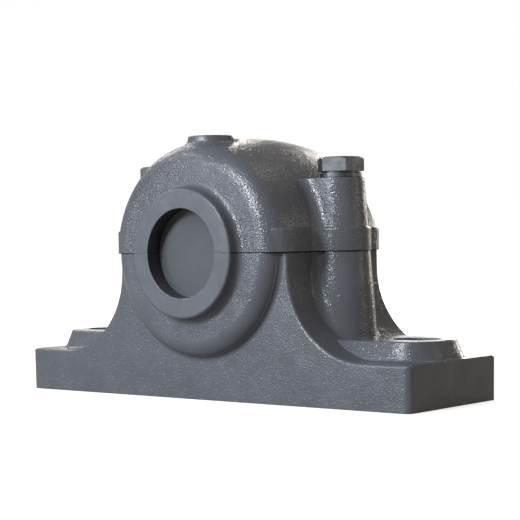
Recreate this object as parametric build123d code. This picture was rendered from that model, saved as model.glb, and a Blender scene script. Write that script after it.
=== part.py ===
from build123d import *
import os
from math import cos, radians, sin, sqrt, tan

# A two-bolt split plummer block for a 35 mm shaft, complete with its self-aligning ball bearing on an
# adapter sleeve. Millimetres, +Z up, X along the foot, Y along the shaft; the front, with the closed
# neck, looks along -Y. The origin is the middle of the underside.

# Foot and webs
foot_length = 205.0
foot_width = 61.0
foot_height = 17.8
foot_end_draft = 0.4
foot_corner_radius = 3.0
cast_edge_radius = 1.0
web_arc_radius = 35.0
web_half_length = 45.3

# Raised pads with the slots for the holding-down bolts
pad_height = 25.4
pad_end_distance = 3.9
pad_width = 33.0
pad_corner_radius = 13.0
pad_draft = 22.0
pad_foot_fillet = 1.4
pad_edge_radius = 0.6
slot_end_distance = 17.5
slot_width = 15.0
slot_length = 20.0

# Pockets cored into the underside
pocket_wall = 7.0
pocket_draft = 4.0
pocket_corner = 5.0
centre_pocket_length = 58.0
centre_pocket_depth = 7.5
end_pocket_length = 22.0
end_pocket_depth = 12.0
pocket_rib = 6.0

# Drum around the bearing
centre_height = 60.0
housing_width = 85.0
neck_length = 5.3
cap_crown_radius = 47.8
cap_edge_radius = 43.2
cap_drum_rounding = 8.5
base_drum_radius = 42.3
base_drum_rounding = 6.5
drum_foot_fillet = 2.0
neck_radius = 26.2
neck_draft = 0.8
neck_foot_fillet = 2.6
neck_edge_chamfer = 0.5

# Bolt pillars, cap flange and cap boss
bolt_offset = 49.6
bolt_seat_height = 89.3
pillar_radius = 11.4
pillar_draft = 3.8
base_pillar_fillet = 4.0
cap_pillar_fillet = 4.5
flange_edge_radius = 0.8
flange_height = 9.5
flange_half_length = 46.9
flange_half_width = 35.8
flange_lobe_radius = 11.8
flange_corner_radius = 9.5
flange_inner_fillet = 5.0
boss_radius = 9.4
boss_top = 107.9
boss_face_distance = 14.8
boss_draft = 9.0
boss_edge_radius = 0.7
boss_fillet = 3.4

# Cap bolts, spring washers and dowel pins
bolt_diameter = 10.0
bolt_length = 55.0
bolt_head_height = 6.4
bolt_collar_diameter = 15.4
bolt_collar_height = 0.6
bolt_head_across_flats = 17.0
bolt_head_flat_step = 0.5
bolt_head_turn = {"left": 4.0, "right": 18.4}
bolt_hole_diameter = 12.0
thread_clearance = 0.05
bolt_hole_spare_depth = 4.0
bolt_tip_chamfer = 1.0
washer_outer_diameter = 17.0
washer_inner_diameter = 10.4
washer_thickness = 2.0
washer_gap = 1.4
washer_slit_angle = 20.0
washer_edge_chamfer = 0.2
pin_diameter = 5.0
pin_length = 16.0
pin_across = 40.0
pin_along = 25.2
pin_clearance = 0.03
pin_end_clearance = 0.3
pin_chamfer = 0.5

# Bearing chamber and seal grooves
bearing_outer_diameter = 80.0
seat_width = 39.0
seat_clearance = 0.02
chamber_radius = 35.0
neck_bore_radius = 18.2
neck_outer_lip = 7.25
neck_inner_lip = 4.0
groove_radius = 24.5
groove_width = 6.25
groove_clearance = 0.05

# Self-aligning ball bearing with taper bore
bearing_width = 18.0
bearing_bore = 40.0
taper_ratio = 12.0
ball_diameter = 8.731
ball_count = 17
ball_pitch_radius = 30.0
ball_row_offset = 4.3
raceway_clearance = 0.2
inner_land_radius = 27.2
ring_edge_chamfer = 0.8
cage_inner_radius = 28.1
cage_outer_radius = 31.9
cage_width = 15.6
pocket_clearance = 0.15

# Adapter sleeve, lock nut and lock washer
shaft_diameter = 35.0
sleeve_length = 31.0
sleeve_rear_stickout = 2.0
sleeve_slit = 5.0
sleeve_taper_clearance = 0.02
sleeve_thread_relief = 0.15
sleeve_end_chamfer = 0.8
nut_diameter = 58.0
nut_width = 9.0
nut_slot_width = 6.0
nut_slot_depth = 2.6
nut_slot_count = 4
nut_chamfer = 2.0
tab_washer_thickness = 1.25
tab_washer_disc_radius = 26.0
tab_reach = 5.0
tab_width = 5.6
tab_count = 13
bent_tab_length = 4.5
bent_tab_clearance = 0.3
inner_tab_reach = 7.7
inner_tab_clearance = 0.3

# Locating rings, seals, end cover and grease plug
locating_ring_bore = 70.0
locating_ring_gap = 40.0
seal_lip_clearance = 0.15
seal_lip_thickness = 1.2
seal_body_radius = 20.5
cover_rim = 3.0
cover_recess = 1.5
plug_diameter = 8.0
plug_length = 7.0
plug_socket = 4.0
plug_sink = 0.4
grease_bore_diameter = 4.0

# Worked-out sizes
half_length = foot_length / 2
half_foot = foot_width / 2
half_housing = housing_width / 2
half_drum = half_housing - neck_length
boss_offset = half_drum - boss_face_distance
half_seat = seat_width / 2
half_bearing = bearing_width / 2
slot_offset = half_length - slot_end_distance
groove_outer_face = half_housing - neck_outer_lip
groove_inner_face = groove_outer_face - groove_width
half_chamber = groove_inner_face - neck_inner_lip
bolt_radius = bolt_diameter / 2
shaft_radius = shaft_diameter / 2
nut_radius = nut_diameter / 2
ball_radius = ball_diameter / 2
ball_step = 360 / ball_count
nut_face = -half_bearing - tab_washer_thickness
split_plane = Plane.XY.offset(centre_height)
sides = {"left": -1, "right": 1}
standing = (Align.CENTER, Align.CENTER, Align.MIN)
hanging = (Align.CENTER, Align.CENTER, Align.MAX)


def turned(outline):
    """Turn a face drawn as (along the shaft, radius) about the shaft axis."""
    return Pos(0, 0, centre_height) * revolve(Plane.YZ * outline, Axis.Y)


def turned_outline(*points):
    """A closed straight-sided section of (along the shaft, radius) points."""
    return make_face(Polyline(*points, close=True))


def ring(inner_radius, outer_radius, start, end, chamfer_size=0.0):
    """A plain turned ring between two places along the shaft, with its outer edges broken."""
    body = turned(turned_outline((start, inner_radius), (end, inner_radius),
                                 (end, outer_radius), (start, outer_radius)))
    if chamfer_size:
        rims = body.edges().filter_by(GeomType.CIRCLE)
        body = chamfer([rim for rim in rims if abs(rim.radius - outer_radius) < 1e-6], chamfer_size)
    return body


def around_shaft(shape, count, start_angle=0.0):
    """Copies of a shape, evenly spaced about the shaft axis."""
    axis = Axis((0, 0, centre_height), (0, 1, 0))
    return [shape.rotate(axis, start_angle + 360 * number / count) for number in range(count)]


def upper_half(shape):
    return split(shape, bisect_by=split_plane, keep=Keep.TOP)


def lower_half(shape):
    return split(shape, bisect_by=split_plane, keep=Keep.BOTTOM)


# ---------------------------------------------------------------------------------------------
# Housing shapes
# ---------------------------------------------------------------------------------------------

def drum(crown_radius, edge_radius, rounding, foot_fillet=0.0):
    """The turned outside of the housing: barrel, drum faces and the two necks."""
    lines = [
        Polyline((-half_drum, edge_radius), (-half_drum, neck_radius + neck_draft),
                 (-half_housing, neck_radius), (-half_housing, 0), (half_housing, 0),
                 (half_housing, neck_radius), (half_drum, neck_radius + neck_draft),
                 (half_drum, edge_radius)),
    ]
    if crown_radius > edge_radius:
        lines.append(ThreePointArc((half_drum, edge_radius), (0, crown_radius), (-half_drum, edge_radius)))
    else:
        lines.append(Line((half_drum, edge_radius), (-half_drum, edge_radius)))
    section = make_face(lines)

    def corners(along, radius):
        return [v for v in section.vertices() if abs(abs(v.X) - along) < 0.01 and abs(v.Y - radius) < 0.01]

    section = fillet(corners(half_drum, edge_radius), rounding)
    section = fillet(corners(half_drum, neck_radius + neck_draft), neck_foot_fillet)
    section = chamfer(corners(half_housing, neck_radius), neck_edge_chamfer)
    body = turned(section)
    if foot_fillet:
        for side in (-1, 1):
            web_face = side * half_foot
            flare = make_face([
                Polyline((web_face + side * foot_fillet, edge_radius), (web_face + side * foot_fillet, 0),
                         (0, 0), (0, edge_radius + foot_fillet), (web_face, edge_radius + foot_fillet)),
                ThreePointArc((web_face, edge_radius + foot_fillet),
                              (web_face + side * foot_fillet * (1 - cos(radians(45))),
                               edge_radius + foot_fillet * (1 - sin(radians(45)))),
                              (web_face + side * foot_fillet, edge_radius)),
            ])
            body += turned(flare)
    return body


def pillar_outline(radius):
    """Plan of the two bolt pillars, drawn as one bar with round ends that runs through the drum."""
    return SlotCenterToCenter(2 * bolt_offset, 2 * radius)


def bearing_chamber():
    """The hollow that both housing halves share: necks, seal grooves, chamber and bearing seat."""
    seat_radius = bearing_outer_diameter / 2 + seat_clearance
    front = [(-half_housing - 1, neck_bore_radius), (-groove_outer_face, neck_bore_radius),
             (-groove_outer_face, groove_radius), (-groove_inner_face, groove_radius),
             (-groove_inner_face, neck_bore_radius), (-half_chamber, neck_bore_radius),
             (-half_chamber, chamber_radius), (-half_seat, chamber_radius), (-half_seat, seat_radius)]
    rear = [(-along, radius) for along, radius in reversed(front)]
    return turned(turned_outline((-half_housing - 1, 0), *front, *rear, (half_housing + 1, 0)))


def pin_places():
    """The dowel pins stand diagonally opposite, so that the cap fits one way round only."""
    return {name: (side * pin_across, -side * pin_along) for name, side in sides.items()}


# ---------------------------------------------------------------------------------------------
# Base
# ---------------------------------------------------------------------------------------------

def web_block():
    """Foot and webs: one outline with a large hollow arc at each end, drawn across the foot."""
    outline = make_face(Polyline(
        (-half_length + foot_end_draft, 0), (half_length - foot_end_draft, 0), (half_length, foot_height),
        (web_half_length, foot_height), (web_half_length, centre_height), (-web_half_length, centre_height),
        (-web_half_length, foot_height), (-half_length, foot_height), close=True))
    nooks = [v for v in outline.vertices()
             if abs(abs(v.X) - web_half_length) < 0.01 and abs(v.Y - foot_height) < 0.01]
    block = extrude(Plane.XZ * fillet(nooks, web_arc_radius), half_foot, both=True)
    corners = [e for e in block.edges() if abs(e.center().X) > half_length - 1 and abs(e.center().Y) > 1]
    block = fillet(corners, foot_corner_radius)
    rims = [e for e in block.edges()
            if abs(abs(e.center().Y) - half_foot) < 0.01 and 1 < e.center().Z < centre_height - 0.1]
    return fillet(rims, cast_edge_radius)


def pads():
    """Raised lands round the slots, sloping down to the foot; they run in under the pillars."""
    root = foot_height / 2
    flare = (pad_height - root) * tan(radians(pad_draft))
    length = 2 * (half_length - pad_end_distance)
    plan = RectangleRounded(length + 2 * flare, pad_width + 2 * flare, pad_corner_radius + flare)
    land = Pos(0, 0, root) * extrude(plan, pad_height - root, taper=pad_draft)
    land = fillet(land.faces().sort_by(Axis.Z)[-1].edges(), pad_edge_radius)
    plate = Pos(0, 0, foot_height) * Box(foot_length + foot_width, foot_width, root, align=hanging)
    joined = plate + land
    joined = fillet(new_edges(plate, land, combined=joined), pad_foot_fillet)
    window = Box(foot_length - 2 * foot_end_draft, foot_width - 2 * foot_corner_radius, 2 * pad_height)
    return joined & window


def foot_slot(side):
    """One slot for a holding-down bolt, right through the foot."""
    plan = SlotCenterToCenter(slot_length - slot_width, slot_width)
    return Pos(side * slot_offset, 0, -1) * extrude(plan, pad_height + 2)


def underside_pockets():
    """Cored pockets that leave a rim and two ribs to stand on."""
    width = foot_width - 2 * pocket_wall
    centre = extrude(RectangleRounded(centre_pocket_length, width, pocket_corner), centre_pocket_depth,
                     taper=pocket_draft)
    end = extrude(RectangleRounded(end_pocket_length, width, pocket_corner), end_pocket_depth,
                  taper=pocket_draft)
    place = centre_pocket_length / 2 + pocket_rib + end_pocket_length / 2
    return [centre, Pos(place, 0, 0) * end, Pos(-place, 0, 0) * end]


def base():
    block = web_block()
    bar = Plane(origin=(0, 0, centre_height), z_dir=(0, 0, -1)) * pillar_outline(pillar_radius)
    pillars = extrude(bar, centre_height - foot_height / 2, dir=(0, 0, -1), taper=-pillar_draft)
    body = block + pillars
    meeting = [e for e in new_edges(block, pillars, combined=body) if e.center().Z > foot_height]
    body = fillet(meeting, base_pillar_fillet)
    body += pads()
    body += lower_half(drum(base_drum_radius, base_drum_radius, base_drum_rounding, drum_foot_fillet))
    body -= lower_half(bearing_chamber())
    tapped_floor = bolt_seat_height + washer_thickness - bolt_length - bolt_hole_spare_depth
    for side in sides.values():
        hole = Cylinder(bolt_radius + thread_clearance, centre_height - tapped_floor + 1, align=standing)
        body -= Pos(side * bolt_offset, 0, tapped_floor) * hole
        body -= foot_slot(side)
    for x, y in pin_places().values():
        body -= Pos(x, y, centre_height) * Cylinder(pin_diameter / 2, pin_length)
    for pocket in underside_pockets():
        body -= pocket
    return body


# ---------------------------------------------------------------------------------------------
# Cap
# ---------------------------------------------------------------------------------------------

def flange():
    """Band along the split, a little proud of the drum and the pillars."""
    plan = Rectangle(2 * flange_half_length, 2 * flange_half_width)
    plan = fillet(plan.vertices(), flange_corner_radius)
    plan += pillar_outline(flange_lobe_radius)
    plan = offset(offset(plan, flange_inner_fillet), -flange_inner_fillet)
    band = extrude(plan, flange_height)
    band = fillet(band.faces().sort_by(Axis.Z)[-1].edges(), flange_edge_radius)
    return Pos(0, 0, centre_height) * band


def cap_boss():
    """Flat-topped boss for the grease plug, in front of the crown."""
    height = boss_top - centre_height - chamber_radius
    foot_radius = boss_radius + height * tan(radians(boss_draft))
    boss = Cone(foot_radius, boss_radius, height, align=standing)
    boss = fillet(boss.edges().sort_by(Axis.Z)[-1], boss_edge_radius)
    return Pos(0, -boss_offset, boss_top - height) * boss


def cap_pillars(barrel):
    """Bolt pillars blended into the barrel, each cut off flat at the bolt seat."""
    rise = bolt_seat_height - centre_height
    spare = cap_pillar_fillet
    draft = tan(radians(pillar_draft))
    bar = extrude(pillar_outline(pillar_radius + rise * draft), 2 * rise + spare, taper=pillar_draft)
    bar = Pos(0, 0, centre_height - rise) * bar
    body = barrel + bar
    flanks = [e for e in new_edges(barrel, bar, combined=body)
              if abs(e.center().Y) > 1 and e.center().Z > centre_height]
    body = fillet(flanks, cap_pillar_fillet)
    above = Pos(0, 0, bolt_seat_height) * Box(4 * bolt_offset, housing_width, spare + 1, align=standing)
    shaved = body - (above - barrel)
    return shaved


def cap():
    barrel = drum(cap_crown_radius, cap_edge_radius, cap_drum_rounding)
    body = cap_pillars(barrel)
    boss = cap_boss()
    joined = body + boss
    body = fillet(new_edges(body, boss, combined=joined), boss_fillet)
    body = upper_half(body) + flange()
    body -= upper_half(bearing_chamber())
    for side in sides.values():
        hole = Cylinder(bolt_hole_diameter / 2, bolt_seat_height - centre_height + 2, align=standing)
        body -= Pos(side * bolt_offset, 0, centre_height - 1) * hole
    for x, y in pin_places().values():
        body -= Pos(x, y, centre_height) * Cylinder(pin_diameter / 2 + pin_clearance,
                                                    pin_length + 2 * pin_end_clearance)
    grease_way = Cylinder(plug_diameter / 2 + thread_clearance, 1 + plug_sink + plug_length, align=hanging)
    grease_way += Cylinder(grease_bore_diameter / 2, 1 + boss_top - centre_height - chamber_radius + 3,
                           align=hanging)
    return body - Pos(0, -boss_offset, boss_top + 1) * grease_way


# ---------------------------------------------------------------------------------------------
# Fasteners
# ---------------------------------------------------------------------------------------------

def cap_bolt(name, side):
    """Hexagon bolt, its head on the spring washer and its shank down through the cap into the base."""
    corner_radius = bolt_head_across_flats / 2 / cos(radians(30))
    top_radius = bolt_head_across_flats / 2 - bolt_head_flat_step
    clear_radius = corner_radius + bolt_head_flat_step
    drop = (clear_radius - top_radius) * tan(radians(30))
    hex_height = bolt_head_height - bolt_collar_height
    blank = Cylinder(clear_radius, hex_height - drop, align=standing)
    blank += Pos(0, 0, hex_height - drop) * Cone(clear_radius, top_radius, drop, align=standing)
    head = Pos(0, 0, bolt_collar_height) * (extrude(RegularPolygon(corner_radius, 6), hex_height) & blank)
    head += Cylinder(bolt_collar_diameter / 2, bolt_collar_height, align=standing)
    shank = Cylinder(bolt_radius, bolt_length, align=hanging)
    shank = chamfer(shank.edges().sort_by(Axis.Z)[0], bolt_tip_chamfer)
    seat = bolt_seat_height + washer_thickness
    return Pos(side * bolt_offset, 0, seat) * Rot(0, 0, bolt_head_turn[name]) * (head + shank)


def spring_washer(side):
    """Split spring washer, drawn flat as it lies under a tightened bolt."""
    washer = Cylinder(washer_outer_diameter / 2, washer_thickness) - Cylinder(
        washer_inner_diameter / 2, washer_thickness)
    slit = Pos(0, washer_outer_diameter / 2, 0) * Rot(0, washer_slit_angle, 0) * Box(
        washer_gap, washer_outer_diameter, 4 * washer_thickness)
    washer = chamfer(washer.edges().filter_by(GeomType.CIRCLE), washer_edge_chamfer)
    return Pos(side * bolt_offset, 0, bolt_seat_height + washer_thickness / 2) * (washer - slit)


def dowel_pin(place):
    pin = Cylinder(pin_diameter / 2, pin_length)
    pin = chamfer(pin.edges().filter_by(GeomType.CIRCLE), pin_chamfer)
    return Pos(place[0], place[1], centre_height) * pin


# ---------------------------------------------------------------------------------------------
# Bearing
# ---------------------------------------------------------------------------------------------

def ball_centres(row):
    """Ball centres of one row; the two rows are half a step apart."""
    start = 0 if row < 0 else ball_step / 2
    centres = []
    for number in range(ball_count):
        angle = radians(start + number * ball_step)
        centres.append((ball_pitch_radius * sin(angle), row * ball_row_offset,
                        centre_height + ball_pitch_radius * cos(angle)))
    return centres


def balls(row):
    return [Pos(*centre) * Sphere(ball_radius) for centre in ball_centres(row)]


def outer_ring():
    """Outer ring: its raceway is one sphere about the bearing centre, which lets the shaft tilt."""
    raceway = sqrt(ball_pitch_radius**2 + ball_row_offset**2) + ball_radius + raceway_clearance
    land = sqrt(raceway**2 - half_bearing**2)
    outside = bearing_outer_diameter / 2
    section = make_face([
        Polyline((half_bearing, land), (half_bearing, outside), (-half_bearing, outside),
                 (-half_bearing, land)),
        ThreePointArc((-half_bearing, land), (0, raceway), (half_bearing, land)),
    ])
    corners = [v for v in section.vertices() if abs(v.Y - outside) < 0.01]
    return turned(chamfer(corners, ring_edge_chamfer))


def taper_radius(along):
    """Radius of the 1:12 taper fit at a place along the shaft, smallest at the nut side."""
    return bearing_bore / 2 + (along + half_bearing) / (2 * taper_ratio)


def inner_ring():
    """Inner ring with two ball grooves and a bore that tapers to fit the adapter sleeve."""
    groove = ball_radius + raceway_clearance
    outside = ring(shaft_radius, inner_land_radius, -half_bearing, half_bearing, ring_edge_chamfer)
    small, large = -half_bearing - 1, half_bearing + 1
    cone = turned(turned_outline((small, 0), (small, taper_radius(small)), (large, taper_radius(large)),
                                 (large, 0)))
    body = outside - cone
    for row in (-1, 1):
        row_centre = Pos(0, row * ball_row_offset, centre_height)
        body -= row_centre * Rot(90, 0, 0) * Torus(ball_pitch_radius, groove)
    return body


def cage():
    """Ball cage: one ring with a round pocket for every ball of both rows."""
    body = ring(cage_inner_radius, cage_outer_radius, -cage_width / 2, cage_width / 2)
    for row in (-1, 1):
        pocket = Pos(0, row * ball_row_offset, centre_height + ball_pitch_radius) * Cylinder(
            ball_radius + pocket_clearance, 2 * (cage_outer_radius - cage_inner_radius))
        body -= around_shaft(pocket, ball_count, 0 if row < 0 else ball_step / 2)
    return body


def adapter_sleeve():
    """Slit clamping sleeve: straight bore for the shaft, taper outside, thread end at the nut side."""
    rear = half_bearing + sleeve_rear_stickout
    front = rear - sleeve_length
    thread = bearing_bore / 2 - sleeve_thread_relief
    body = turned(turned_outline(
        (front, shaft_radius), (front, thread - sleeve_end_chamfer), (front + sleeve_end_chamfer, thread),
        (nut_face, thread), (nut_face, taper_radius(nut_face) - sleeve_taper_clearance),
        (rear, taper_radius(rear) - sleeve_taper_clearance), (rear, shaft_radius)))
    slit = Pos(0, 0, centre_height) * Box(sleeve_slit, 4 * sleeve_length, bearing_bore, align=standing)
    return body - slit


def lock_nut():
    """Round nut with slots for a hook spanner."""
    body = ring(bearing_bore / 2, nut_radius, nut_face - nut_width, nut_face)
    rims = [e for e in body.edges().filter_by(GeomType.CIRCLE)
            if abs(e.radius - nut_radius) < 0.01 and e.center().Y < nut_face - 1]
    body = chamfer(rims, nut_chamfer)
    slot = Pos(0, nut_face - nut_width / 2, centre_height + nut_radius) * Box(
        nut_slot_width, 2 * nut_width, 2 * nut_slot_depth)
    return body - around_shaft(slot, nut_slot_count)


def lock_washer():
    """Washer with tabs all round, one of them bent into a nut slot, and a tab in the sleeve slit."""
    root = tab_washer_disc_radius - 2 * tab_washer_thickness

    def blade(width, start, end):
        """A flat tab on the top of the washer between two radii."""
        return Pos(0, nut_face, centre_height + start) * Box(
            width, tab_washer_thickness, end - start, align=(Align.CENTER, Align.MIN, Align.MIN))

    body = ring(bearing_bore / 2, tab_washer_disc_radius, nut_face, -half_bearing)
    flat_tabs = around_shaft(blade(tab_width, root, tab_washer_disc_radius + tab_reach), tab_count)
    bend_radius = nut_radius - nut_slot_depth + bent_tab_clearance
    bent_tab = Pos(0, nut_face, centre_height + bend_radius) * Box(
        tab_width, bent_tab_length, tab_washer_thickness, align=(Align.CENTER, Align.MAX, Align.MIN))
    inner_tab = blade(sleeve_slit - 2 * inner_tab_clearance, tab_washer_disc_radius - inner_tab_reach, root)
    bend = blade(tab_width, root, bend_radius + tab_washer_thickness)
    return body + [*flat_tabs[1:], bend, bent_tab, inner_tab]


def locating_ring(side):
    """C-shaped ring that centres the bearing in the wide seat, with its opening at the top."""
    near = side * half_bearing
    far = side * half_seat
    body = ring(locating_ring_bore / 2, bearing_outer_diameter / 2, min(near, far), max(near, far),
                ring_edge_chamfer)
    opening = Pos(0, (near + far) / 2, centre_height) * Box(
        locating_ring_gap, seat_width, bearing_outer_diameter,
        align=standing)
    return body - opening


# ---------------------------------------------------------------------------------------------
# Neck closures and grease plug
# ---------------------------------------------------------------------------------------------

def end_cover():
    """Disc that sits in the front groove and closes that neck."""
    outer = -groove_outer_face + groove_clearance
    inner = -groove_inner_face - groove_clearance
    rim = groove_radius - groove_clearance
    return turned(turned_outline((outer, 0), (outer, rim), (inner, rim), (inner, rim - cover_rim),
                                 (inner - cover_recess, rim - cover_rim), (inner - cover_recess, 0)))


def rear_seal():
    """Two-lip shaft seal in the rear groove, as one turned ring before it is parted."""
    inner = groove_inner_face + groove_clearance
    outer = groove_outer_face - groove_clearance
    rim = groove_radius - groove_clearance
    lip = shaft_radius + seal_lip_clearance
    return turned(turned_outline(
        (inner, lip), (inner, rim), (outer, rim), (outer, lip), (outer - seal_lip_thickness, lip),
        (outer - seal_lip_thickness, seal_body_radius), (inner + seal_lip_thickness, seal_body_radius),
        (inner + seal_lip_thickness, lip)))


def grease_plug():
    """Headless screw plug with a hexagon socket, sunk a little into the boss."""
    top = boss_top - plug_sink
    body = Cylinder(plug_diameter / 2, plug_length, align=hanging)
    body = chamfer(body.edges().filter_by(GeomType.CIRCLE), pin_chamfer)
    socket = extrude(RegularPolygon(plug_socket / 2, 6, major_radius=False), -plug_length / 2)
    return Pos(0, -boss_offset, top) * (body - socket)


def parts():
    """Every piece of the block under its own name."""
    made = {"base": base(), "cap": cap()}
    for name, side in sides.items():
        made[f"cap_bolt_{name}"] = cap_bolt(name, side)
        made[f"spring_washer_{name}"] = spring_washer(side)
        made[f"dowel_pin_{name}"] = dowel_pin(pin_places()[name])
    made["outer_ring"] = outer_ring()
    made["inner_ring"] = inner_ring()
    made["cage"] = cage()
    made["balls_front_row"] = Compound(balls(-1))
    made["balls_rear_row"] = Compound(balls(1))
    made["adapter_sleeve"] = adapter_sleeve()
    made["lock_nut"] = lock_nut()
    made["lock_washer"] = lock_washer()
    made["locating_ring_front"] = locating_ring(-1)
    made["locating_ring_rear"] = locating_ring(1)
    made["end_cover"] = end_cover()
    made["rear_seal_upper"] = upper_half(rear_seal())
    made["rear_seal_lower"] = lower_half(rear_seal())
    made["grease_plug"] = grease_plug()
    return made


if __name__ == "__main__":
    os.makedirs("parts", exist_ok=True)
    for name, shape in parts().items():
        export_step(shape, f"parts/{name}.step")
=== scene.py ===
"""Split plummer block: finishes for its castings, steel, rubber and plastic, and a plain studio."""

import logging
import math
from dataclasses import dataclass
from enum import Enum
from typing import Any, NamedTuple

import bpy
from mathutils import Matrix, Vector


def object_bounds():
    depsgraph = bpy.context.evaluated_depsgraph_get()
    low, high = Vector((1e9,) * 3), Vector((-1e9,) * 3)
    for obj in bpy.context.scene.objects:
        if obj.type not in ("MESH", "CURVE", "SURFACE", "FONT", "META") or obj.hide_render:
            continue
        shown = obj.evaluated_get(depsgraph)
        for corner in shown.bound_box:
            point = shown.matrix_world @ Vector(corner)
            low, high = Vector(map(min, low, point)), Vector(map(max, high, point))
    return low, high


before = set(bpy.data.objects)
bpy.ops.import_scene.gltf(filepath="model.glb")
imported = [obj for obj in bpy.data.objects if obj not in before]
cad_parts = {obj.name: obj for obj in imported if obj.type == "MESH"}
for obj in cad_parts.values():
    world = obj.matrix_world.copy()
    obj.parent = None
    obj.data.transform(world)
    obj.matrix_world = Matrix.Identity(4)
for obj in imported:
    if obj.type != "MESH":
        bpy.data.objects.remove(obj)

CAD_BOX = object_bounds()
MM = 0.001
# A noise seldom leaves the middle of its range, so these ends stretch it into patches of colour
# and into steps of gloss.
PATCH_ENDS = (0.35, 0.65)
GLOSS_ENDS = (0.3, 0.7)
LOG = logging.getLogger("plummer_block")

Tree = bpy.types.NodeTree
Socket = bpy.types.NodeSocket


class RayKind(Enum):
    """The kinds of ray that see the plain white surroundings."""

    CAMERA = "Is Camera Ray"
    GLOSSY = "Is Glossy Ray"
    TRANSMISSION = "Is Transmission Ray"


def linear(hex_colour: str) -> tuple[float, float, float, float]:
    """Turn an sRGB hex colour into the linear colour that a shader takes.

    Args:
        hex_colour: six hexadecimal digits, such as "5a5e64".

    Returns:
        Linear red, green and blue, and an alpha of one.
    """
    parts = [int(hex_colour[place:place + 2], 16) / 255 for place in (0, 2, 4)]
    red, green, blue = (v / 12.92 if v <= 0.04045 else ((v + 0.055) / 1.055) ** 2.4 for v in parts)
    return red, green, blue, 1.0


def add(tree: Tree, kind: str, inputs: dict[str | int, Any] | None = None,
        **settings: Any) -> bpy.types.Node:
    """Add a shader node with its settings and links.

    Args:
        tree: the node tree that gets the node.
        kind: the node's type name.
        inputs: input name or number, each with a constant or with a socket to link from.
        settings: attributes of the node itself.

    Returns:
        The new node.
    """
    made = tree.nodes.new(kind)
    for name, value in settings.items():
        setattr(made, name, value)
    for name, value in (inputs or {}).items():
        if isinstance(value, Socket):
            tree.links.new(value, made.inputs[name])
        else:
            made.inputs[name].default_value = value
    return made


def blank(name: str) -> tuple[bpy.types.Material, Tree, Socket]:
    """Start a material.

    Args:
        name: the material's name.

    Returns:
        The material, its empty node tree, and the place on the piece in millimetres.
    """
    material = bpy.data.materials.new(name)
    material.use_nodes = True
    tree = material.node_tree
    tree.nodes.clear()
    metres = add(tree, "ShaderNodeTexCoord").outputs["Object"]
    place = add(tree, "ShaderNodeMapping", {
        "Vector": metres, "Scale": (1 / MM, 1 / MM, 1 / MM)}).outputs["Vector"]
    return material, tree, place


def finish_with(tree: Tree, inputs: dict[str | int, Any]) -> None:
    """Close a material with a Principled shader and its output."""
    shader = add(tree, "ShaderNodeBsdfPrincipled", inputs)
    add(tree, "ShaderNodeOutputMaterial", {"Surface": shader.outputs["BSDF"]})


@dataclass(frozen=True)
class Lumps:
    """A noise by the width of its lumps, the finer layers on them, and the strength of those."""

    size_mm: float
    layers: float
    strength: float

    def inputs(self, place: Socket) -> dict[str | int, Any]:
        """Give what a noise node takes to draw these lumps at a place in millimetres."""
        return {"Vector": place, "Scale": 1 / self.size_mm,
                "Detail": self.layers, "Roughness": self.strength}


@dataclass(frozen=True)
class Edge:
    """A worn edge: its rounding, and the share of another colour that it takes.

    The softened normal leaves the face's own at an edge. The cosine between them is `start` where
    the wear begins and `full` where it is complete.
    """

    width_mm: float
    start: float
    full: float
    share: float
    samples: int = 4

    def wear(self, tree: Tree) -> tuple[Socket, Socket]:
        """Round the edges off in the shading, and find them.

        Args:
            tree: the material's node tree.

        Returns:
            The softened normal, and the wear, which is zero on a face and `share` on an edge.
        """
        soft = add(tree, "ShaderNodeBevel", {
            "Radius": self.width_mm * MM}, samples=self.samples).outputs[0]
        flat = add(tree, "ShaderNodeNewGeometry").outputs["Normal"]
        turn = add(tree, "ShaderNodeVectorMath", {
            0: soft, 1: flat}, operation="DOT_PRODUCT").outputs["Value"]
        worn = add(tree, "ShaderNodeMapRange", {
            "Value": turn, "From Min": self.start, "From Max": self.full,
            "To Max": self.share}).outputs[0]
        return soft, worn


class Zones(NamedTuple):
    """Where a casting is what: each is one inside its zone and zero outside."""

    turned: Socket
    cast: Socket
    bore: Socket
    split: Socket


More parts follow.
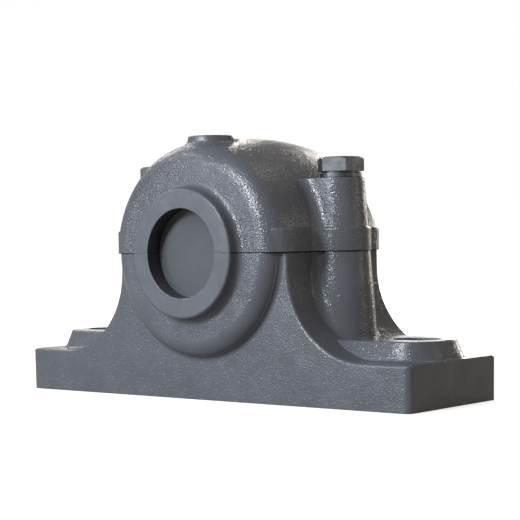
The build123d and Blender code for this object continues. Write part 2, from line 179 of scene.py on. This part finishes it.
@dataclass(frozen=True)
class PaintedCasting:
    """Grey iron, sand cast, under one coat of slate machine enamel.

    The sand leaves a pebbled skin whose crests glint through the glossy enamel; the stoutest single
    grains carry pale specks, a painted glint. Foundry sand is finer than a millimetre: its pebbles
    and grains are drawn as coarse as they need to be to show. The neck faces were turned before
    painting, so they are flat and quieter. The bores are painted near-black as painted shade, and a
    dark hairline runs where cap and base meet.
    """

    name: str = "sand_cast_iron_base_slate_enamel"
    enamel: str = "676c75"
    thin: str = "767b83"
    dusty: str = "61666e"
    # Pale specks on the stoutest grains are painted glints.
    painted_glint_speck: str = "c2c5c9"
    gap: str = "191a1c"
    # The bore walls are painted near-black: painted shade in the recess.
    painted_bore_shade: str = "2c2d2f"
    pebbles: Lumps = Lumps(0.6, 1.6, 0.55)
    pebble_share: float = 0.9
    sand_mm: float = 1.0
    sand_reach: float = 0.5
    sand_power: float = 1.5
    painted_glint_speck_ends: tuple[float, float] = (0.85, 0.93)
    painted_glint_speck_share: float = 0.5
    grain_depth_mm: float = 0.12
    turned_grain: float = 0.25
    swell: Lumps = Lumps(13.0, 2.0, 0.5)
    swell_depth_mm: float = 0.5
    edge: Edge = Edge(0.7, 0.995, 0.86, 0.4, samples=6)
    neck_radius_mm: float = 26.3
    neck_fade_mm: float = 0.3
    neck_face_mm: float = 42.2
    face_fade_mm: tuple[float, float] = (0.25, 0.2)
    bore_radius_mm: float = 18.6
    bore_fade_mm: float = 0.2
    split_mm: float = 60.0
    split_width_mm: float = 0.34
    split_core: float = 0.4
    gloss: float = 0.17
    duller: float = 0.08
    glossier: float = 0.03
    turned_dull: float = 0.16
    ior: float = 1.5
    specular: float = 0.7

    def zones(self, tree: Tree, place: Socket) -> Zones:
        """Find the turned neck faces, the cast skin, the bores and the split.

        Args:
            tree: the material's node tree.
            place: the place on the piece in millimetres.

        Returns:
            The four zones.
        """
        axes = add(tree, "ShaderNodeSeparateXYZ", {0: place}).outputs
        height = add(tree, "ShaderNodeMath", {
            0: axes["Z"], 1: self.split_mm}, operation="SUBTRACT").outputs[0]
        off_split = add(tree, "ShaderNodeMath", {0: height}, operation="ABSOLUTE").outputs[0]
        depth = add(tree, "ShaderNodeMath", {0: axes["Y"]}, operation="ABSOLUTE").outputs[0]
        spoke = add(tree, "ShaderNodeCombineXYZ", {"X": axes["X"], "Y": height}).outputs[0]
        radius = add(tree, "ShaderNodeVectorMath", {
            0: spoke}, operation="LENGTH").outputs["Value"]
        inner, outer = self.face_fade_mm
        at_face, in_neck, in_bore, in_split = (
            add(tree, "ShaderNodeMapRange", {
                "Value": value, "From Min": start, "From Max": full}).outputs[0]
            for value, start, full in (
                (depth, self.neck_face_mm - inner, self.neck_face_mm + outer),
                (radius, self.neck_radius_mm, self.neck_radius_mm - self.neck_fade_mm),
                (radius, self.bore_radius_mm, self.bore_radius_mm - self.bore_fade_mm),
                (off_split, self.split_width_mm, self.split_width_mm * self.split_core)))
        turned = add(tree, "ShaderNodeMath", {
            0: at_face, 1: in_neck}, operation="MULTIPLY").outputs[0]
        cast = add(tree, "ShaderNodeMath", {0: 1.0, 1: turned}, operation="SUBTRACT").outputs[0]
        bore, split = (add(tree, "ShaderNodeMath", {
            0: zone, 1: cast}, operation="MULTIPLY").outputs[0] for zone in (in_bore, in_split))
        return Zones(turned, cast, bore, split)

    def sand(self, tree: Tree, place: Socket, cast: Socket) -> Socket:
        """Scatter single grains of sand over the cast skin, few of them stout.

        Args:
            tree: the material's node tree.
            place: the place on the piece in millimetres.
            cast: one on the cast skin.

        Returns:
            The height of the grains, from zero to one.
        """
        cells = add(tree, "ShaderNodeTexVoronoi", {
            "Vector": place, "Scale": 1 / self.sand_mm}).outputs
        lot = add(tree, "ShaderNodeSeparateColor", {0: cells["Color"]}).outputs["Red"]
        stout = add(tree, "ShaderNodeMath", {
            0: lot, 1: self.sand_power}, operation="POWER").outputs[0]
        height = add(tree, "ShaderNodeMapRange", {
            "Value": cells["Distance"], "From Min": self.sand_reach, "From Max": 0.0},
            interpolation_type="SMOOTHSTEP").outputs[0]
        for share in (stout, cast):
            height = add(tree, "ShaderNodeMath", {
                0: height, 1: share}, operation="MULTIPLY").outputs[0]
        return height

    def paint(self, tree: Tree, swell: Socket, grains: Socket, worn: Socket,
              zones: Zones) -> Socket:
        """Mix the enamel's colour over the casting, with painted glints and the bores' painted
        shade.

        Args:
            tree: the material's node tree.
            swell: the slow swell of the casting, which the coat follows in patches.
            grains: the height of the single grains, whose stoutest carry a pale painted glint.
            worn: the wear of the edges, where the coat is thin.
            zones: where the casting is what.

        Returns:
            The colour.
        """
        patches = add(tree, "ShaderNodeMapRange", {
            "Value": swell, "From Min": PATCH_ENDS[0], "From Max": PATCH_ENDS[1]}).outputs[0]
        start, full = (end ** self.sand_power for end in self.painted_glint_speck_ends)
        # Pale specks on the stoutest grains: painted glints.
        painted_glint_mask = add(tree, "ShaderNodeMapRange", {
            "Value": grains, "From Min": start, "From Max": full,
            "To Max": self.painted_glint_speck_share}).outputs[0]
        colour = linear(self.dusty)
        # Over the enamel go worn edges, painted glints, the dark split and the bores' painted
        # shade.
        for share, over in ((patches, self.enamel), (worn, self.thin), (painted_glint_mask, self.painted_glint_speck),
                            (zones.split, self.gap), (zones.bore, self.painted_bore_shade)):
            colour = add(tree, "ShaderNodeMix", {
                0: share, 6: colour, 7: linear(over)}, data_type="RGBA").outputs[2]
        return colour

    def build(self) -> bpy.types.Material:
        """Build the enamelled casting's material.

        Returns:
            The material.
        """
        material, tree, place = blank(self.name)
        zones = self.zones(tree, place)
        swell, pebbles = (add(tree, "ShaderNodeTexNoise", lumps.inputs(place)).outputs["Fac"]
                          for lumps in (self.swell, self.pebbles))
        grains = self.sand(tree, place, zones.cast)
        soft, worn = self.edge.wear(tree)
        colour = self.paint(tree, swell, grains, worn, zones)

        low = add(tree, "ShaderNodeMath", {
            0: pebbles, 1: self.pebble_share}, operation="MULTIPLY").outputs[0]
        skin = add(tree, "ShaderNodeMath", {0: low, 1: grains}, operation="ADD").outputs[0]
        amount = add(tree, "ShaderNodeMapRange", {
            "Value": zones.cast, "To Min": self.turned_grain, "To Max": 1.0}).outputs[0]
        wave = add(tree, "ShaderNodeBump", {
            "Height": swell, "Distance": self.swell_depth_mm * MM, "Strength": 1.0,
            "Normal": soft}).outputs["Normal"]
        relief = add(tree, "ShaderNodeBump", {
            "Height": skin, "Distance": self.grain_depth_mm * MM, "Strength": amount,
            "Normal": wave}).outputs["Normal"]
        gloss = add(tree, "ShaderNodeMapRange", {
            "Value": pebbles, "From Min": GLOSS_ENDS[0], "From Max": GLOSS_ENDS[1],
            "To Min": self.gloss + self.duller, "To Max": self.gloss - self.glossier}).outputs[0]
        dull = add(tree, "ShaderNodeMath", {
            0: zones.turned, 1: self.turned_dull}, operation="MULTIPLY").outputs[0]
        gloss = add(tree, "ShaderNodeMath", {0: gloss, 1: dull}, operation="ADD").outputs[0]
        finish_with(tree, {"Base Color": colour, "Roughness": gloss, "IOR": self.ior,
                           "Specular IOR Level": self.specular, "Normal": relief})
        return material


@dataclass(frozen=True)
class WorkedSteel:
    """Steel as it leaves the machine: forged, turned, ground or sprung, with its film of oil.

    Tool marks run along the stretch given, and faint stains break up the sheen. Real marks are a
    tenth of a millimetre apart: these are drawn as coarse as they need to be to show.
    """

    name: str
    bright: str
    stained: str
    gloss: float
    marks: Lumps
    mark_depth_mm: float
    stretch: tuple[float, float, float] = (1.0, 1.0, 1.0)
    stain: Lumps = Lumps(4.5, 3.0, 0.6)
    stain_ends: tuple[float, float] = (0.38, 0.62)
    edge: Edge = Edge(0.25, 0.99, 0.85, 0.5)
    duller: float = 0.1
    glossier: float = 0.05

    def build(self) -> bpy.types.Material:
        """Build this steel's material.

        Returns:
            The material.
        """
        material, tree, place = blank(self.name)
        laid = add(tree, "ShaderNodeMapping", {
            "Vector": place, "Scale": self.stretch}).outputs["Vector"]
        marks = add(tree, "ShaderNodeTexNoise", self.marks.inputs(laid)).outputs["Fac"]
        stain = add(tree, "ShaderNodeTexNoise", self.stain.inputs(place)).outputs["Fac"]
        patches = add(tree, "ShaderNodeMapRange", {
            "Value": stain, "From Min": self.stain_ends[0],
            "From Max": self.stain_ends[1]}).outputs[0]
        soft, worn = self.edge.wear(tree)
        clean = add(tree, "ShaderNodeMath", {0: patches, 1: worn}, operation="MAXIMUM").outputs[0]
        colour = add(tree, "ShaderNodeMix", {
            0: clean, 6: linear(self.stained), 7: linear(self.bright)},
            data_type="RGBA").outputs[2]
        grooved = add(tree, "ShaderNodeBump", {
            "Height": marks, "Distance": self.mark_depth_mm * MM, "Normal": soft}).outputs["Normal"]
        gloss = add(tree, "ShaderNodeMapRange", {
            "Value": stain, "From Min": GLOSS_ENDS[0], "From Max": GLOSS_ENDS[1],
            "To Min": self.gloss + self.duller, "To Max": self.gloss - self.glossier}).outputs[0]
        finish_with(tree, {"Base Color": colour, "Metallic": 1.0, "Roughness": gloss,
                           "Normal": grooved})
        return material


@dataclass(frozen=True)
class MouldedPart:
    """Moulded polymer or rubber: even colour, a spark-eroded grain and soft mould edges.

    The grain of a real mould is a tenth of this: it is drawn as coarse as it needs to be to show.
    """

    name: str
    colour: str
    shaded: str
    gloss: float
    grain: Lumps
    grain_depth_mm: float
    ior: float = 1.5
    cloud: Lumps = Lumps(14.0, 3.0, 0.55)
    edge_mm: float = 0.4
    edge_samples: int = 4
    gloss_step: float = 0.05

    def build(self) -> bpy.types.Material:
        """Build this moulding's material.

        Returns:
            The material.
        """
        material, tree, place = blank(self.name)
        grain, cloud = (add(tree, "ShaderNodeTexNoise", lumps.inputs(place)).outputs["Fac"]
                        for lumps in (self.grain, self.cloud))
        patches = add(tree, "ShaderNodeMapRange", {
            "Value": cloud, "From Min": PATCH_ENDS[0], "From Max": PATCH_ENDS[1]}).outputs[0]
        colour = add(tree, "ShaderNodeMix", {
            0: patches, 6: linear(self.shaded), 7: linear(self.colour)},
            data_type="RGBA").outputs[2]
        soft = add(tree, "ShaderNodeBevel", {
            "Radius": self.edge_mm * MM}, samples=self.edge_samples).outputs[0]
        dimpled = add(tree, "ShaderNodeBump", {
            "Height": grain, "Distance": self.grain_depth_mm * MM,
            "Normal": soft}).outputs["Normal"]
        gloss = add(tree, "ShaderNodeMapRange", {
            "Value": cloud, "From Min": GLOSS_ENDS[0], "From Max": GLOSS_ENDS[1],
            "To Min": self.gloss + self.gloss_step,
            "To Max": self.gloss - self.gloss_step}).outputs[0]
        finish_with(tree, {"Base Color": colour, "Roughness": gloss, "IOR": self.ior,
                           "Normal": dimpled})
        return material


Finish = PaintedCasting | WorkedSteel | MouldedPart

# The base came from fine sand: its flat front glints in small pebbles under the even slate coat.
BASE_CASTING = PaintedCasting()
# The cap came from its own mould in coarser sand: its skin is rougher and breaks the light up more.
CAP_CASTING = PaintedCasting(
    "sand_cast_iron_cap_slate_enamel", pebbles=Lumps(0.7, 1.6, 0.55), pebble_share=1.1,
    grain_depth_mm=0.17)
# Dark phosphate on a forged head keeps the crystal's matt grey and lets the corners shine.
PHOSPHATED_STEEL = WorkedSteel(
    "forged_steel_phosphated", "7d8084", "6a6d71", 0.42, Lumps(0.6, 3.0, 0.6), 0.04)
# A darker, duller copy of the same phosphate for the left bolt, behind the drum: painted shade.
SHADED_PHOSPHATED_STEEL_COPY = WorkedSteel(
    "forged_steel_phosphated_painted_shade", "626569", "54575b", 0.5, Lumps(0.6, 3.0, 0.6), 0.04)
# Coiled wire, hardened and oiled: drawing lines follow the coil, the blue-black is worn to grey.
SPRING_STEEL = WorkedSteel(
    "drawn_spring_steel_oiled", "787a7d", "5e6063", 0.38, Lumps(0.35, 3.0, 0.6), 0.03,
    (1.0, 1.0, 3.0))
# Ground and honed rings and balls are near mirrors with the faintest haze.
GROUND_STEEL = WorkedSteel(
    "ground_bearing_steel", "c9cacc", "bcbdbf", 0.16, Lumps(0.8, 3.0, 0.6), 0.004)
# Turned sleeve, nut, plug and pins show the tool's feed as fine lines.
TURNED_STEEL = WorkedSteel(
    "turned_steel_oiled", "a5a6a8", "929395", 0.3, Lumps(0.5, 3.0, 0.6), 0.02, (1.0, 6.0, 1.0))
# Turned iron rings stay greyer than steel, with open pores.
TURNED_IRON = WorkedSteel(
    "turned_grey_iron", "8c8d8f", "77787a", 0.42, Lumps(0.7, 3.0, 0.6), 0.03, (1.0, 5.0, 1.0))
# Glass-filled polyamide: ivory, slightly cloudy, a dull gloss.
CAGE_POLYAMIDE = MouldedPart(
    "moulded_glass_filled_polyamide", "c9bd9f", "bdb08f", 0.45, Lumps(0.9, 2.0, 0.5), 0.03, 1.53)
# Nitrile rubber: nearly black, dull where it was moulded.
NITRILE_RUBBER = MouldedPart(
    "moulded_nitrile_rubber", "2b2c2e", "232425", 0.55, Lumps(0.7, 2.0, 0.5), 0.03, 1.52)
# Grey moulded disc, dull, with a faint mould grain.
COVER_PLASTIC = MouldedPart(
    "moulded_grey_cover_plastic", "5b6066", "565b61", 0.48, Lumps(1.2, 2.0, 0.5), 0.05)


class SubAssembly:
    """Pieces that belong together, with a finish for each."""

    def finishes(self) -> dict[str, Finish]:
        """Give the finish of each node by its name."""
        raise NotImplementedError

    def dress(self) -> None:
        """Give each node its finish, building the materials that aren't there yet."""
        for name, finish in self.finishes().items():
            material = bpy.data.materials.get(finish.name) or finish.build()
            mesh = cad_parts[name].data
            mesh.materials.clear()
            mesh.materials.append(material)
            LOG.info("%s: %s in %s", type(self).__name__, name, finish.name)


@dataclass(frozen=True)
class Housing(SubAssembly):
    """The base and the cap that close round the bearing."""

    base: PaintedCasting = BASE_CASTING
    cap: PaintedCasting = CAP_CASTING

    def finishes(self) -> dict[str, Finish]:
        """Give the two castings their enamel."""
        return {"base": self.base, "cap": self.cap}


@dataclass(frozen=True)
class Fasteners(SubAssembly):
    """Cap bolts, their spring washers, the dowel pins and the grease plug."""

    # The left bolt's darker copy of the phosphate is painted shade.
    left_bolt: WorkedSteel = SHADED_PHOSPHATED_STEEL_COPY
    right_bolt: WorkedSteel = PHOSPHATED_STEEL
    spring_washer: WorkedSteel = SPRING_STEEL
    pin: WorkedSteel = TURNED_STEEL
    plug: WorkedSteel = TURNED_STEEL

    def finishes(self) -> dict[str, Finish]:
        """Give each fastener its steel.

        Returns:
            The finish of each node by its name.
        """
        return {"cap_bolt_left": self.left_bolt, "cap_bolt_right": self.right_bolt,
                "spring_washer_left": self.spring_washer,
                "spring_washer_right": self.spring_washer,
                "dowel_pin_left": self.pin, "dowel_pin_right": self.pin,
                "grease_plug": self.plug}


@dataclass(frozen=True)
class Bearing(SubAssembly):
    """The self-aligning ball bearing on its slit taper sleeve."""

    ring: WorkedSteel = GROUND_STEEL
    ball: WorkedSteel = GROUND_STEEL
    cage: MouldedPart = CAGE_POLYAMIDE
    sleeve: WorkedSteel = TURNED_STEEL
    nut: WorkedSteel = TURNED_STEEL
    washer: WorkedSteel = SPRING_STEEL

    def finishes(self) -> dict[str, Finish]:
        """Give the bearing and what holds it on the shaft their finishes.

        Returns:
            The finish of each node by its name.
        """
        return {"outer_ring": self.ring, "inner_ring": self.ring,
                "balls_front_row": self.ball, "balls_rear_row": self.ball, "cage": self.cage,
                "adapter_sleeve": self.sleeve, "lock_nut": self.nut, "lock_washer": self.washer}


@dataclass(frozen=True)
class Closures(SubAssembly):
    """What sits in the grooves: locating rings, the end cover and the split rear seal."""

    locating_ring: WorkedSteel = TURNED_IRON
    end_cover: MouldedPart = COVER_PLASTIC
    seal: MouldedPart = NITRILE_RUBBER

    def finishes(self) -> dict[str, Finish]:
        """Give the rings, the cover and the seal their finishes.

        Returns:
            The finish of each node by its name.
        """
        return {"locating_ring_front": self.locating_ring,
                "locating_ring_rear": self.locating_ring, "end_cover": self.end_cover,
                "rear_seal_upper": self.seal, "rear_seal_lower": self.seal}


@dataclass(frozen=True)
class Lamp:
    """One soft box, placed round the block by its bearing and its height in degrees."""

    name: str
    azimuth: float
    elevation: float
    size_m: float
    level: float
    tint: str
    distance_m: float = 1.4

    def light(self, target: Vector) -> None:
        """Hang the soft box so that it faces the target.

        A level of 1 makes a surface that faces the lamp show its colour as written.

        Args:
            target: the point that it lights.
        """
        turn, rise = math.radians(self.azimuth), math.radians(self.elevation)
        back = Vector((math.sin(turn) * math.cos(rise), -math.cos(turn) * math.cos(rise),
                       math.sin(rise)))
        data = bpy.data.lights.new(self.name, "AREA")
        data.shape, data.size = "DISK", self.size_m
        data.energy = self.level * math.pi ** 2 * self.distance_m ** 2
        data.color = linear(self.tint)[:3]
        lamp = bpy.data.objects.new(self.name, data)
        lamp.location = target + back * self.distance_m
        lamp.rotation_mode = "QUATERNION"
        lamp.rotation_quaternion = (-back).to_track_quat("-Z", "Y")
        bpy.context.scene.collection.objects.link(lamp)


@dataclass(frozen=True)
class Studio:
    """Pale floor, white surroundings, soft lamps and the camera."""

    floor_half_m: float = 30.0
    floor_drop_m: float = 0.0002
    floor_seen: str = "f4f4f4"
    floor_given: str = "9a968f"
    lift: float = 0.7
    lift_ends_mm: tuple[float, float] = (250.0, 900.0)
    reflected: float = 0.18
    ambient: float = 0.14
    ambient_tint: str = "ffe2c4"
    # Name, bearing and height in degrees, size in metres, level and tint of each lamp.
    lamps: tuple[Lamp, ...] = (
        Lamp("key_box", -11.0, 23.0, 0.28, 0.53, "f2f7ff"),
        Lamp("top_box", 3.0, 38.0, 0.35, 0.2, "f6faff"),
        Lamp("side_box", -28.0, 9.0, 0.4, 0.19, "f2f7ff"),
        Lamp("left_box", -60.0, 36.0, 0.3, 0.09, "f6faff"),
        Lamp("back_box", -138.0, 30.0, 0.22, 0.13, "fff8ee"),
        Lamp("rim_box", 116.0, 15.0, 0.45, 0.06, "fff2e4"),
        Lamp("spark_box", 160.0, 60.0, 0.1, 0.03, "fff0e0"),
        Lamp("rear_left_box", -110.0, 32.0, 0.5, 0.12, "fbf9f6"),
        Lamp("rear_box", 200.0, 15.0, 0.5, 0.2, "fffaf4"),
        Lamp("back_card", 219.0, 5.0, 0.6, 0.05, "ffffff"),
        Lamp("flank_card", 178.0, 7.0, 0.3, 0.1, "fffaf4"),
    )
    eye_mm: tuple[float, float, float] = (431.3, -509.4, 66.23)
    azimuth: float = 0.6952
    elevation: float = 0.0148
    roll: float = -0.0173
    lens_mm: float = 109.3
    sensor_mm: float = 36.0
    clip_m: tuple[float, float] = (0.05, 100.0)

    def floor(self) -> None:
        """Lay the floor, which takes the block's shadow and shows white to the eye."""
        mesh = bpy.data.meshes.new("floor")
        half, low = self.floor_half_m, -self.floor_drop_m
        mesh.from_pydata([(-half, -half, low), (half, -half, low), (half, half, low),
                          (-half, half, low)], [], [(0, 1, 2, 3)])
        laid = bpy.data.objects.new("floor", mesh)
        bpy.context.scene.collection.objects.link(laid)
        material, tree, place = blank("pale_matt_floor")
        seen = self.white_ray(tree)
        colour = add(tree, "ShaderNodeMix", {
            0: seen, 6: linear(self.floor_given), 7: linear(self.floor_seen)},
            data_type="RGBA").outputs[2]
        matt = add(tree, "ShaderNodeBsdfDiffuse", {"Color": colour}).outputs[0]
        away = add(tree, "ShaderNodeVectorMath", {0: place}, operation="LENGTH").outputs["Value"]
        near, far = self.lift_ends_mm
        fade = add(tree, "ShaderNodeMapRange", {
            "Value": away, "From Min": near, "From Max": far,
            "To Min": self.lift, "To Max": 1.0}).outputs[0]
        lift = add(tree, "ShaderNodeMath", {0: seen, 1: fade}, operation="MULTIPLY").outputs[0]
        glow = add(tree, "ShaderNodeEmission", {"Strength": lift}).outputs[0]
        both = add(tree, "ShaderNodeAddShader", {0: matt, 1: glow}).outputs[0]
        add(tree, "ShaderNodeOutputMaterial", {"Surface": both})
        mesh.materials.append(material)

    def white_ray(self, tree: Tree) -> Socket:
        """Tell the rays that see plain white surroundings from those that carry light.

        Args:
            tree: the node tree of the floor or of the world.

        Returns:
            One for the camera and for clear parts, `reflected` for a mirrored ray, else zero.
        """
        ray = add(tree, "ShaderNodeLightPath").outputs
        white = add(tree, "ShaderNodeMath", {
            0: ray[RayKind.GLOSSY.value], 1: self.reflected}, operation="MULTIPLY").outputs[0]
        for kind in (RayKind.CAMERA, RayKind.TRANSMISSION):
            white = add(tree, "ShaderNodeMath", {
                0: ray[kind.value], 1: white}, operation="MAXIMUM").outputs[0]
        return white

    def surroundings(self) -> None:
        """Make the world: white where it is seen, a low warm level where it lights."""
        world = bpy.data.worlds.new("studio")
        world.use_nodes = True
        tree = world.node_tree
        tree.nodes.clear()
        low, white = (add(tree, "ShaderNodeBackground", {
            "Color": linear(tint), "Strength": strength}).outputs[0]
            for tint, strength in ((self.ambient_tint, self.ambient), ("ffffff", 1.0)))
        both = add(tree, "ShaderNodeMixShader", {
            0: self.white_ray(tree), 1: low, 2: white}).outputs[0]
        add(tree, "ShaderNodeOutputWorld", {"Surface": both})
        bpy.context.scene.world = world

    def camera(self) -> None:
        """Stand the camera in front of the block, to its right, a little above the split."""
        back = Vector((math.sin(self.azimuth) * math.cos(self.elevation),
                       -math.cos(self.azimuth) * math.cos(self.elevation),
                       math.sin(self.elevation)))
        right = Vector((math.cos(self.azimuth), math.sin(self.azimuth), 0.0))
        up = back.cross(right)
        across = math.cos(self.roll) * right + math.sin(self.roll) * up
        above = math.cos(self.roll) * up - math.sin(self.roll) * right
        data = bpy.data.cameras.new("camera")
        data.lens, data.sensor_width = self.lens_mm, self.sensor_mm
        data.clip_start, data.clip_end = self.clip_m
        camera = bpy.data.objects.new("camera", data)
        turned = Matrix((across, above, back)).transposed().to_4x4()
        camera.matrix_world = Matrix.Translation(Vector(self.eye_mm) * MM) @ turned
        bpy.context.scene.collection.objects.link(camera)
        bpy.context.scene.camera = camera

    def build(self) -> None:
        """Set the whole studio round the block."""
        low, high = CAD_BOX
        self.floor()
        self.surroundings()
        for lamp in self.lamps:
            lamp.light((low + high) / 2)
        self.camera()
        bpy.context.scene.view_settings.view_transform = "Standard"


def main() -> None:
    """Dress every sub-assembly and build the studio."""
    logging.basicConfig(level=logging.INFO, format="%(message)s")
    for group in (Housing(), Fasteners(), Bearing(), Closures()):
        group.dress()
    Studio().build()


if __name__ == "__main__":
    main()
